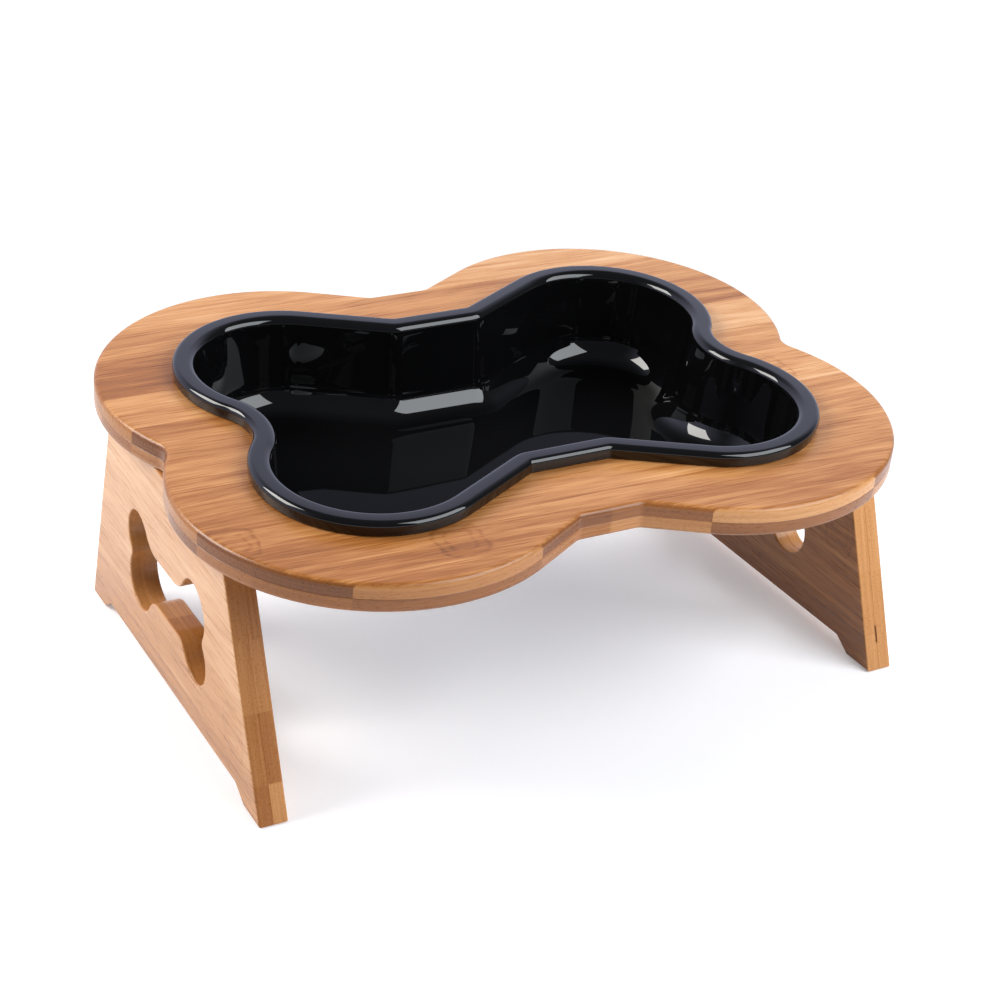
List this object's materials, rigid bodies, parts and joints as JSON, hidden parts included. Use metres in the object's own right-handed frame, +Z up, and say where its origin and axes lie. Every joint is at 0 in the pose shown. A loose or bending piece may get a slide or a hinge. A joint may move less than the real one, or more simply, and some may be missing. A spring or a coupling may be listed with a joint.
{
  "type": "raised pet feeder",
  "caption": "Bone-shaped black glazed bowl that hangs by its rim in a bamboo board on two tapered bamboo legs with bone-shaped hand-holds.",
  "frame": {"origin": "on the floor, under the middle of the board", "axes": "+X along the feeder from the left leg to the right one, -Y to the lower front edge, +Z up"},
  "size_m": [0.3, 0.2354, 0.1238],
  "materials": {
    "black_glaze": "gloss",
    "bamboo_board": "satin",
    "bamboo_leg": "satin",
    "beech": "matte",
    "foot_rubber": "matte"
  },
  "bodies": {
    "stand": {"board_upper_ply": "bamboo_board", "board_lower_ply": "bamboo_board", "left_leg_outer_ply": "bamboo_leg", "left_leg_inner_ply": "bamboo_leg", "right_leg_outer_ply": "bamboo_leg", "right_leg_inner_ply": "bamboo_leg", "left_leg_dowels": "beech", "right_leg_dowels": "beech", "front_left_foot_pad": "foot_rubber", "rear_left_foot_pad": "foot_rubber", "front_right_foot_pad": "foot_rubber", "rear_right_foot_pad": "foot_rubber"},
    "bowl": {"ceramic_bowl": "black_glaze"}
  },
  "joints": [
    {"name": "bowl_lift", "type": "slide", "parent": "stand", "child": "bowl", "axis": [0, -0.0872, 0.9962], "range_m": [0, 0.06]}
  ]
}
